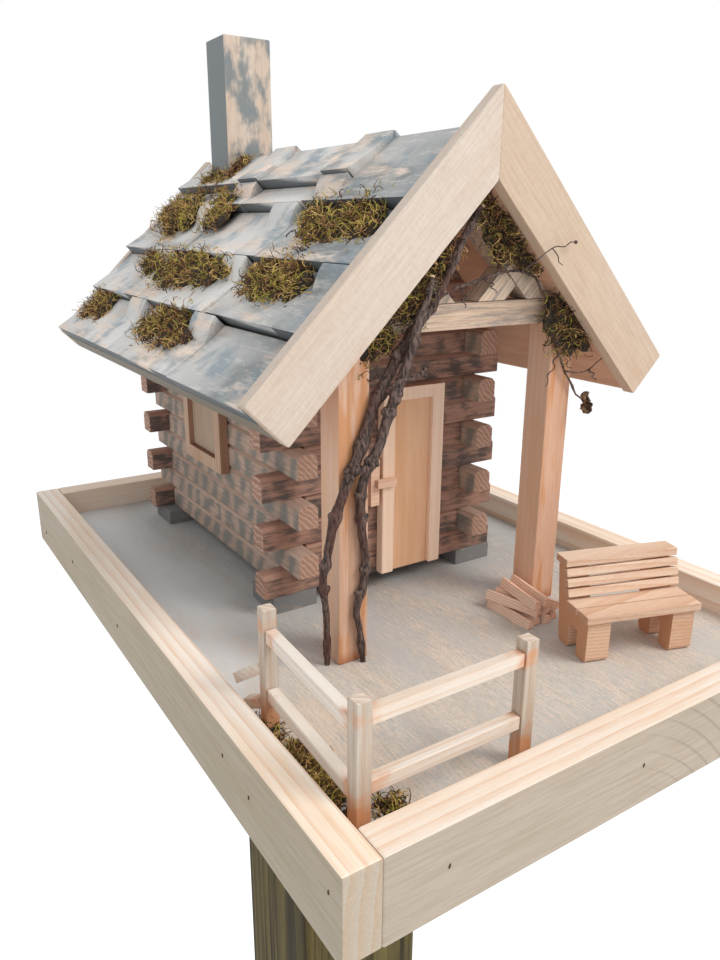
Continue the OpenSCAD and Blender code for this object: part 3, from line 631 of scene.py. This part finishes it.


# Chimney: a plain block sawn to sit over the ridge, painted as the shingles are.
# Its front is rubbed back to pink wood, and both its sides are greyer: partly the paint they keep, partly painted
# shade.
chimney_look = board("chimney_paint", "z", "d1c0b0", "af9a87", "caae99", "a4a8a5", ring_mm=5.0, ring_share=0.3,
                     fibre_share=0.3)
tree = chimney_look.tree
patch = cloud(tree, chimney_look.place, (30.0, 60.0, 60.0), 4.0, 0.6)
facing = axes(tree, chimney_look.spot.outputs["Normal"])
# Both sides take more of the grey paint: partly paint kept there, partly painted shade on the sides.
sides = fade(tree, sums(tree, "ABSOLUTE", facing["X"]), 0.5, 0.9)
paint = fade(tree, plus(tree, patch, times(tree, sides, 0.2)), 0.4, 0.56)
brush(chimney_look, paint, "727c80", 0.88)
dress(seal(chimney_look, 0.74, 0.4), 0.8, "chimney")


# Fence: three square posts and four rails of pale ripped pine, glued at the tray's front left corner.
# Runs of orange glue show at every joint, and two snapped rails are left behind the rear post.
fence_low, fence_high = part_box("fence_posts")
rail_low, rail_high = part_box("fence_rails")
fence_half = 3.1 * MM
fence_feet = [
    (fence_low.x + fence_half, fence_low.y + fence_half),
    (fence_high.x - fence_half, fence_low.y + fence_half),
    (fence_low.x + fence_half, fence_high.y - fence_half),
]
foot_glue_top, foot_glue_full = deck_top + 26 * MM, deck_top + 9 * MM
joint_inset = 3 * MM
joint_glue_far, joint_glue_near = 7 * MM, 1 * MM
end_glue_far, end_glue_near = 16 * MM, 4 * MM


def glue_look(name, grain, pale, ring, warm, corner=None):
    """Pale pine, with the nearness of the fence posts and a blotch for its glue."""
    look = board(name, grain, pale, ring, warm, "e2d3c4", ring_mm=3.2, ring_share=0.45, corner=corner)
    tree = look.tree
    spot = axes(tree, look.start)
    look.level = spot["Z"]
    flat = put(tree, "CombineXYZ", {0: spot["X"], 1: spot["Y"]}).outputs[0]
    look.far = 1.0
    for x, y in fence_feet:
        reach = put(tree, "VectorMath", {0: flat, 1: (x, y, 0.0)}, operation="DISTANCE").outputs["Value"]
        look.far = sums(tree, "MINIMUM", reach, look.far)
    look.blot = cloud(tree, look.start, (90.0, 90.0, 90.0), 3.0)
    return look


def glued(look, near):
    """Orange glue where it gathers, by a nearness from 0 to 1 and the blotch."""
    tree = look.tree
    share = fade(tree, plus(tree, times(tree, near, 0.42), look.blot), 0.6, 1.0)
    brush(look, share, "d48548", 0.7)
    return seal(look)


fence_post_look = glue_look("fence_post_pine", "z", "c6bbae", "b08762", "c0a893")
tree = fence_post_look.tree
near = fade(tree, fence_post_look.level, foot_glue_top, foot_glue_full)
for joint in (rail_low.z + joint_inset, rail_high.z - joint_inset):
    gap = sums(tree, "ABSOLUTE", less(tree, fence_post_look.level, joint))
    near = sums(tree, "MAXIMUM", near, times(tree, fade(tree, gap, joint_glue_far, joint_glue_near), 0.6))
dress(glued(fence_post_look, near), 0.6, "fence_posts")
fence_rail_look = glue_look("fence_rail_pine", "x", "e8ded3", "d3ab88", "e2cfbc", fence_low.y + 2 * fence_half)
tree = fence_rail_look.tree
near = times(tree, fade(tree, fence_rail_look.far, end_glue_far, end_glue_near), 0.75)
dress(glued(fence_rail_look, near), 0.5, "fence_rails", "broken_rails")


# Bench: two sawn ends with round feet, two seat slats and a stack of back slats, all glued.
# The wood is pinkish cedar, paler on the slats.
bench_look = board("bench_cedar", "x", "eac4a8", "bb8765", "ddad8a", "d39e7b", ring_mm=2.0, ring_share=0.5)
dress(seal(bench_look), 0.8, "bench_ends")
slat_look = board("bench_slat", "x", "e6c9b1", "c68e66", "d9ad92", "cb9e85", ring_mm=3.4, ring_share=0.55)
dress(seal(slat_look), 0.5, "bench_seat_slats", "bench_back_slats")


# Firewood: a loose heap of split cedar sticks beside the right porch post.
# They are rough, pink and splintered, glued where they cross.
stick_look = board("split_cedar", "x", "ffd5ba", "bf856f", "edae90", "ffe2cc", ring_mm=1.6, ring_share=0.6,
                   fibre_share=0.6)
dress(seal(stick_look, 0.8, 0.8), 0.4, "firewood")


# Vine: dried grape stems with shreddy bark, grown together where they cross on the left porch post.
# A thin branch runs on across the gable, with curled tendrils and a few withered leaves.
vine_y = -93.2 * MM
deck_shift = 27 * MM
stem_steps = 14
full_from, full_to = 0.42, 0.68
bud_low = 28 * MM
bud_shares = (0.8, 0.95, 0.85, 0.6, 0.25)
bud_step = 0.45
bark_seed = 4
left_route = [(-79, 0, -7), (-81, 29, -4), (-84, 48, -2), (-83, 60, 0), (-79, 78, 0), (-71, 98, 0), (-65, 111, 0),
              (-57, 132, 0), (-50, 144, 0), (-43, 155, 0), (-34, 166, 0), (-25, 176, 0), (-17, 188, 0),
              (-8, 205, 0), (2, 220, 0)]
right_route = [(-62, 0, 0), (-64, 18, 0), (-66, 30, 0), (-62, 43, 0), (-61, 56, 0), (-63, 70, 0), (-64, 83, 0),
               (-64, 93, 1), (-62, 103, 3), (-58, 114, 6), (-54, 125, 6), (-50, 135, 6), (-46, 144, 6),
               (-41, 157, 6), (-38, 168, 6), (-34, 175, 5), (-30, 182, 4), (-28, 189, 3)]
reach_route = [(-21, 179, 0), (-12, 183, 0), (-3, 185, 0), (9, 188, 0), (19, 190, 0), (29, 190, 0), (39, 187, 0),
               (45, 180, 0), (50, 170, 0), (53, 160, 0), (60, 148.5, 0), (66.5, 137, 0), (72, 130.5, 0), (77, 123, 0)]

bark, tree, shader = blank("vine_bark")
spot = tree.nodes.new("ShaderNodeTexCoord").outputs["Object"]
shred = cloud(tree, spot, (900.0, 900.0, 190.0), 3.0, 0.6)
patch = cloud(tree, spot, (70.0, 70.0, 40.0), 3.0)
bark_colour = layer(tree, fade(tree, shred, 0.36, 0.62), tint("2b1f1c"), tint("715c53"))
bark_colour = layer(tree, times(tree, fade(tree, patch, 0.48, 0.65), 0.55), bark_colour, tint("54291f"))
tree.links.new(bark_colour, shader.inputs["Base Color"])
shader.inputs["Roughness"].default_value = 0.75
bump = put(tree, "Bump", {"Height": shred, "Distance": 1.2 * MM})
tree.links.new(bump.outputs["Normal"], shader.inputs["Normal"])


def smooth_route(points, steps):
    """Points on a smooth curve through a route's own points."""
    last = len(points) - 1
    out = []
    for i in range(last):
        a, b, c, d = (points[min(max(i + k, 0), last)] for k in (-1, 0, 1, 2))
        for s in range(steps):
            t = s / steps
            out.append(0.5 * (2 * b + (c - a) * t + (2 * a - 5 * b + 4 * c - d) * t * t
                              + (3 * b - a - 3 * c + d) * t ** 3))
    return out + [points[last]]


def stem(curve, points, radii, slot=0):
    """One strand of a curve object, with a thickness at each point."""
    spline = curve.splines.new("POLY")
    spline.points.add(len(points) - 1)
    spline.material_index = slot
    for knot, point, radius in zip(spline.points, points, radii):
        knot.co = (*point, 1.0)
        knot.radius = radius


def made_mesh(curve, name):
    """A curve's strands as one mesh object."""
    strands = bpy.data.objects.new(name + "_strands", curve)
    bpy.context.scene.collection.objects.link(strands)
    mesh = bpy.data.meshes.new_from_object(strands.evaluated_get(bpy.context.evaluated_depsgraph_get()))
    bpy.data.objects.remove(strands)
    mesh.polygons.foreach_set("use_smooth", [True] * len(mesh.polygons))
    piece = bpy.data.objects.new(name, mesh)
    bpy.context.scene.collection.objects.link(piece)
    return piece


def strand_curve(name, sides, materials):
    """An empty curve whose strands are round, with thickness in metres."""
    curve = bpy.data.curves.new(name, "CURVE")
    curve.dimensions = "3D"
    curve.bevel_depth = 1.0
    curve.bevel_resolution = sides
    curve.use_fill_caps = True
    for material in materials:
        curve.materials.append(material)
    return curve


def on_deck(route):
    """A route's points on the front of the porch, in metres; the third number is how far forward."""
    return [Vector((x * MM + deck_shift, vine_y - ahead * MM, deck_top + z * MM)) for x, z, ahead in route]


def knobbly(name, route, foot, middle, tip, seed, buds):
    """A stem with swellings at its joints, buds and rough bark, thickest in its middle."""
    chance = random.Random(seed)
    points = smooth_route(on_deck(route), stem_steps)
    count = len(points)
    joints = [(k + chance.uniform(0.25, 0.75)) / buds for k in range(buds)]
    radii = []
    for i in range(count):
        t = i / (count - 1)
        swell = sum(math.exp(-((t - j) * count / 2.6) ** 2) for j in joints)
        if t < full_to:
            thick = foot + (middle - foot) * min(1.0, t / full_from)
        else:
            thick = middle + (tip - middle) * (t - full_to) / (1 - full_to)
        radii.append(thick / 2 * MM * (0.86 + 0.36 * min(swell, 1.0)))
    curve = strand_curve(name, 4, [bark])
    stem(curve, points, radii)
    for j in joints:
        at = int(j * (count - 1))
        if points[at].z < deck_top + bud_low:
            continue
        size = radii[at] * chance.uniform(0.75, 1.0)
        lean = Vector((chance.choice((-1, 1)), chance.uniform(-0.5, 0.0), chance.uniform(0.1, 0.9))).normalized()
        bud = [points[at] + lean * (k * size * bud_step) for k in range(len(bud_shares))]
        stem(curve, bud, [size * share for share in bud_shares])
    piece = made_mesh(curve, name)
    for vertex in piece.data.vertices:
        rough = noise.noise_vector(vertex.co * 300.0) * 0.28 + noise.noise_vector(vertex.co * 1100.0) * 0.12
        vertex.co += rough * MM
    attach(piece, "feeder")
    return piece


noise.seed_set(bark_seed)
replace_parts(knobbly("vine_left", left_route, 3.4, 6.0, 3.0, 3, 12), "vine_left_stem")
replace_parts(knobbly("vine_right", right_route, 3.4, 5.6, 3.0, 8, 11), "vine_right_stem")
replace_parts(knobbly("vine_reach", reach_route, 1.9, 1.5, 1.2, 5, 6), "vine_branch")

# Each twig: its route on the porch front, and its thickness at both ends.
twig_steps = 8
twigs = [
    ([(-54, 139, 6), (-48, 144, 8), (-42, 144.5, 8), (-36, 146.5, 8)], 2.6, 1.6),
    ([(-67, 102, 4), (-63, 105, 7), (-60.5, 108, 7)], 2.0, 1.2),
    ([(24, 190, 6), (23.5, 196, 17), (29, 199.4, 17), (35, 202, 17), (41, 202, 17), (45, 204, 17), (48.5, 204, 17)],
     0.7, 0.5),
    ([(33, 201.2, 17), (37, 197.7, 17), (38, 195, 17), (41, 193.3, 17)], 0.6, 0.4),
    ([(66, 137, 1), (74, 136, 4), (82, 137.5, 4), (88, 141, 4), (95, 144.4, 4)], 0.9, 0.5),
    ([(53, 160, 0), (57, 166, 2), (63, 168, 3), (66, 172, 4)], 1.1, 0.7),
    ([(77, 123, 0), (79, 121, 2), (80, 119, 3)], 1.0, 0.6),
]
# Each tendril: where it starts, which way it runs, its length, its turns and the width of its curl.
tendril_steps = 44
tendril_thick, tendril_taper = 0.5, 0.28
tendril_sag = 5
tendrils = [
    ((-9, 183, 1), (0.1, -0.5), 8, 2.5, 4.0),
    ((5, 187, 1), (0.7, -0.2), 8, 2.5, 4.5),
    ((29, 190, 1), (0.9, 0.6), 24, 2.5, 4.5),
    ((39, 187, 1), (0.8, 0.9), 20, 1.5, 6.0),
    ((45, 180, 1), (1.0, -0.1), 18, 2.0, 4.0),
    ((60, 148.5, 1), (-0.6, -0.7), 18, 2.5, 4.0),
    ((80, 137, 4), (0.6, -0.2), 7, 2.5, 4.0),
    ((-25, 176, 4), (-0.2, 0.9), 16, 1.5, 3.5),
]
curls = strand_curve("vine_tendrils", 2, [bark])
for route, thick, tip in twigs:
    points = smooth_route(on_deck(route), twig_steps)
    stem(curls, points, [(thick + (tip - thick) * i / (len(points) - 1)) / 2 * MM for i in range(len(points))])
for (x, z, ahead), (run, rise), length, turns, wide in tendrils:
    points = []
    for i in range(tendril_steps):
        t = i / (tendril_steps - 1)
        angle = t * turns * math.tau
        loop = wide * t * (1.15 - t)
        points.append((x + run * length * t + loop * math.sin(angle), z + rise * length * t - tendril_sag * t * t,
                       ahead + 2 * t + loop * (1 - math.cos(angle)) * 0.6))
    radii = [(tendril_thick - tendril_taper * i / (tendril_steps - 1)) * MM for i in range(tendril_steps)]
    stem(curls, on_deck(points), radii)
tendril_piece = made_mesh(curls, "vine_tendrils")
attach(tendril_piece, "feeder")

withered_leaf, tree, shader = blank("withered_leaf")
spot = tree.nodes.new("ShaderNodeTexCoord").outputs["Object"]
vein = cloud(tree, spot, (420.0, 420.0, 420.0), 4.0, 0.7)
leaf_colour = layer(tree, fade(tree, vein, 0.38, 0.62), tint("3f2c20"), tint("8a6a4a"))
tree.links.new(leaf_colour, shader.inputs["Base Color"])
shader.inputs["Roughness"].default_value = 0.7
bump = put(tree, "Bump", {"Height": vein, "Distance": 0.8 * MM})
tree.links.new(bump.outputs["Normal"], shader.inputs["Normal"])
# Each leaf: its middle on the porch front, its length and its turn.
leaves = [((80, 121, 3), 7, 0.5), ((78.5, 118, 4), 6, 2.2), ((82, 118, 3), 7, 4.0), ((80.5, 115.5, 5), 6, 5.3)]
leaf_rows = 9
leaf_tilt = 1.1
leaf_half = 0.42
blades = bmesh.new()
for number, (middle, length, turn) in enumerate(leaves):
    grid = bmesh.ops.create_grid(blades, x_segments=leaf_rows, y_segments=leaf_rows, size=0.5)["verts"]
    lean = Matrix.Rotation(turn, 4, "Y") @ Matrix.Rotation(leaf_tilt, 4, "X")
    pose = Matrix.Translation(on_deck([middle])[0]) @ lean
    for vertex in grid:
        u, v = vertex.co.x * 2, vertex.co.y * 2
        half = leaf_half * math.sqrt(max(0.0, 1 - u * u)) * (1 - 0.35 * u)
        crumple = noise.noise(Vector((u * 1.6, v * 1.6, number * 7.0))) * 0.3 + 0.35 * v * v
        vertex.co = pose @ (Vector((u * 0.5, v * half, crumple)) * length * MM)
leaf_piece = settle(blades, "withered_leaves", withered_leaf)
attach(leaf_piece, "feeder")

raw_cut, tree, shader = blank("vine_cut")
ring = put(tree, "TexNoise", {"Scale": 700.0})
cut_colour = layer(tree, fade(tree, ring.outputs["Fac"], 0.4, 0.6), tint("e0cba8"), tint("c4a67c"))
tree.links.new(cut_colour, shader.inputs["Base Color"])
shader.inputs["Roughness"].default_value = 0.7
cut_lift, cut_deep, cut_taper = 0.35 * MM, 0.9 * MM, 0.85
tips = bmesh.new()
for end, before, size in ((left_route[-1], left_route[-2], 1.75), (right_route[-1], right_route[-2], 1.4)):
    end, before = on_deck([end])[0], on_deck([before])[0]
    aim = (end - before).normalized()
    disc = Matrix.Translation(end + aim * cut_lift) @ aim.to_track_quat("Z", "Y").to_matrix().to_4x4()
    bmesh.ops.create_cone(tips, cap_ends=True, segments=20, radius1=size * MM, radius2=size * cut_taper * MM,
                          depth=cut_deep, matrix=disc)
tip_piece = settle(tips, "vine_cut_ends", raw_cut, smooth=False)
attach(tip_piece, "feeder")

# Each knot where the stems grow together: its middle on the porch front and its half sizes.
knots = [((-68.4, 103.7, 3), (2.8, 2.4, 2.6)), ((-65, 104, 5), (2.2, 2.0, 2.2)), ((-71, 100, 2), (2.2, 2.0, 2.6)),
         ((-60.5, 108, 7), (1.6, 1.5, 1.8)), ((-62, 106, 7), (1.3, 1.3, 1.5)), ((-59.5, 106, 7), (1.1, 1.1, 1.2)),
         ((-50.4, 135.2, 8), (2.6, 2.2, 2.8)), ((-52, 138, 8), (2.0, 1.8, 2.0)), ((-42, 144.5, 8), (1.5, 1.4, 1.4)),
         ((-36, 146.5, 8), (1.7, 1.5, 1.5)), ((-34.5, 148, 8), (1.2, 1.1, 1.3)), ((-34.5, 145.3, 8), (1.2, 1.1, 1.1)),
         ((48.5, 204, 17), (1.0, 1.0, 0.9))]
burrs = bmesh.new()
for middle, half in knots:
    place = on_deck([middle])[0]
    for vertex in bmesh.ops.create_icosphere(burrs, subdivisions=3, radius=1.0)["verts"]:
        lumpy = vertex.co * (1 + 0.3 * noise.noise(vertex.co * 1.9 + place * 800))
        vertex.co = place + Vector((lumpy.x * half[0], lumpy.y * half[1], lumpy.z * half[2])) * MM
knot_piece = settle(burrs, "vine_knots", bark)
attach(knot_piece, "feeder")


# Moss: dried tangled moss in tufts, glued on the roof, under the gable and along the tray's edge.
# Each tuft is a dark felt core with yellow, olive and brown strands curling out of it.
moss_shades = [
    ("moss_lime", "c8b750", "978838"),
    ("moss_straw", "e8c27a", "ad8652"),
    ("moss_olive", "94803f", "5c4c26"),
    ("moss_brown", "a3734b", "684529"),
    ("moss_dark", "573d27", "2c1d11"),
]
felt_shade = ("moss_felt", "463822", "1f170d")
strand_thick = 0.33
strand_steps = 11
strand_curl = 2.3
strand_lift = 0.3 * MM
heap_reach = 2.4
roof_height, gable_height, tray_height = 8.0, 7.0, 4.5
roof_seed, yard_seed = 20, 40
# Shares of the five shades in a heap: in the light on the roof and tray, and darker under the gable, where the darker
# mix is painted shade.
light_mixes = [(5, 3, 3, 2, 2), (2, 4, 2, 4, 2), (1, 2, 2, 5, 4)]
gable_painted_shade_mixes = [(2, 1, 5, 4, 6), (1, 1, 3, 5, 7)]


def moss_material(name, light, dark):
    """Strand colour that drifts over a few millimetres."""
    material, tree, shader = blank(name)
    spot = tree.nodes.new("ShaderNodeTexCoord").outputs["Object"]
    patch = fade(tree, cloud(tree, spot, (300.0, 300.0, 300.0), 3.0), 0.35, 0.65)
    tree.links.new(layer(tree, patch, tint(light), tint(dark)), shader.inputs["Base Color"])
    shader.inputs["Roughness"].default_value = 0.8
    return material


moss = [moss_material(*shade) for shade in moss_shades]
felt = moss_material(*felt_shade)


def tuft(name, middle, across, along, out, count, seed, mixes, height):
    """A mat of curled strands over dark lumps; across and along are its half axes, out leaves the surface."""
    chance = random.Random(seed)
    sideways, lengthways = across.normalized(), along.normalized()
    lumps = bmesh.new()
    heaps = []
    for _ in range(max(9, count // 30)):
        angle = chance.uniform(0, math.tau)
        far = math.sqrt(chance.random()) * 0.9
        wide = chance.uniform(0.16, 0.3) * min(across.length, along.length) + 3 * MM
        tall = height * MM * chance.uniform(0.4, 0.8) * (1 - 0.5 * far)
        heap = middle + across * (math.cos(angle) * far) + along * (math.sin(angle) * far)
        heaps.append((heap, wide, tall, chance.choice(mixes)))
        for vertex in bmesh.ops.create_icosphere(lumps, subdivisions=2, radius=1.0)["verts"]:
            coarse = noise.noise(vertex.co * 2.2 + heap * 900)
            fine = noise.noise(vertex.co * 7 + heap * 900)
            ball = vertex.co * (1 + 0.4 * coarse + 0.2 * fine)
            vertex.co = heap + sideways * (ball.x * wide) + lengthways * (ball.y * wide) + out * (ball.z * tall * 0.6)
    core = settle(lumps, name + "_felt", felt)
    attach(core, "feeder")
    curve = strand_curve(name, 0, moss)
    for _ in range(count):
        heap, wide, tall, mix = chance.choice(heaps)
        flat = sideways * chance.gauss(0, 0.75) + lengthways * chance.gauss(0, 0.75)
        up = chance.uniform(0.1, 1.15) * max(0.0, 1 - 0.35 * flat.length)
        point = heap + flat * wide + out * (tall * up)
        heading = (sideways * chance.gauss(0, 1) + lengthways * chance.gauss(0, 1)
                   + out * chance.gauss(0.2, 0.6)).normalized()
        axle = (out * chance.gauss(0, 1.4) + sideways * chance.gauss(0, 1)
                + lengthways * chance.gauss(0, 1)).normalized()
        bend = chance.uniform(0.5, 1.6) / strand_curl / MM
        step = chance.uniform(0.5, 1.1) * MM
        points = []
        for _ in range(strand_steps):
            points.append(point.copy())
            heading = (Matrix.Rotation(bend * step, 3, axle) @ heading).normalized()
            axle = (axle + Vector((chance.gauss(0, 0.2), chance.gauss(0, 0.2), chance.gauss(0, 0.2)))).normalized()
            point = point + heading * step
            if (point - heap).length > heap_reach * wide:
                heading = (heading + 0.8 * (heap - point).normalized()).normalized()
            below = (point - middle).dot(out)
            if below < strand_lift:
                point += out * (strand_lift - below)
        thick = strand_thick * MM * chance.uniform(0.6, 1.25)
        radii = [thick * (1.0 - 0.5 * k / (strand_steps - 1)) * (1.25, 0.65)[k % 2] for k in range(strand_steps)]
        stem(curve, points, radii, chance.choices(range(len(moss)), mix)[0])
    piece = made_mesh(curve, name)
    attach(piece, "feeder")


slope_part = math.sqrt(0.5)
down_slope = Vector((-slope_part, 0, -slope_part))
off_slope = Vector((-slope_part, 0, slope_part))
along_roof = Vector((0, 1, 0))
# Each roof tuft: its place along the roof and down the slope, its half sizes, its lift and its strands.
roof_tufts = [
    ("moss_front_high", -44, 58, 38, 15, 5, 1050),
    ("moss_back_high", 146, 54, 72, 15, 8, 1200),
    ("moss_front_mid", -28, 100, 38, 12, 5, 850),
    ("moss_back_mid", 98, 100, 80, 12, 7, 1200),
    ("moss_front_low", 46, 141, 42, 13, 5, 850),
    ("moss_back_low", 190, 140, 32, 12, 5, 480),
    ("moss_chimney", 163, 21, 28, 9, 5, 420),
]
for number, (name, y, s, half_y, half_s, lift, count) in enumerate(roof_tufts):
    middle = Vector((ridge.x, y * MM, ridge.z)) + down_slope * (s * MM) + off_slope * (lift * MM)
    tuft(name, middle, along_roof * (half_y * MM), down_slope * (half_s * MM), off_slope, count, roof_seed + number,
         light_mixes, roof_height)

# Each gable or tray tuft: its middle on the tray, its half sizes across and up or along, its face and its strands.
forward = Vector((0, -1, 0))
upward = Vector((0, 0, 1))
yard_tufts = [
    ("moss_chimney_foot", (-6, 146, 249), (11, 0, 10), (-3, 0, 3), forward, 260),
    ("moss_left_gable", (-44, -90, 174), (20, 0, 20), (-6, 0, 6), forward, 620),
    ("moss_left_apex", (-18, -90, 199), (8, 0, 8), (-4, 0, 4), forward, 180),
    ("moss_apex", (9, -91, 218), (8, 0, -8), (5, 0, 5), forward, 260),
    ("moss_right_barge", (27, -91, 203), (14, 0, -14), (8, 0, 8), forward, 620),
    ("moss_right_post", (66, -93.5, 165), (16, 0, -15), (9, 0, 9), forward, 620),
    ("moss_left_rail", (-128, -150, 0), (7, 0, 0), (0, 44, 0), upward, 800),
    ("moss_fence_corner", (-110.5, -188, 0), (3, 0, 0), (0, 4, 0), upward, 80),
]
for number, (name, middle, across, along, face, count) in enumerate(yard_tufts):
    # Tufts on the porch front under the gable take the darker mixes, painted shade for the gable's shadow.
    mixes = light_mixes if middle[1] > 0 or face is upward else gable_painted_shade_mixes
    middle = Vector((deck_shift, 0, deck_top)) + Vector(middle) * MM
    height = tray_height if face is upward else gable_height
    tuft(name, middle, Vector(across) * MM, Vector(along) * MM, face, count, yard_seed + number, mixes, height)
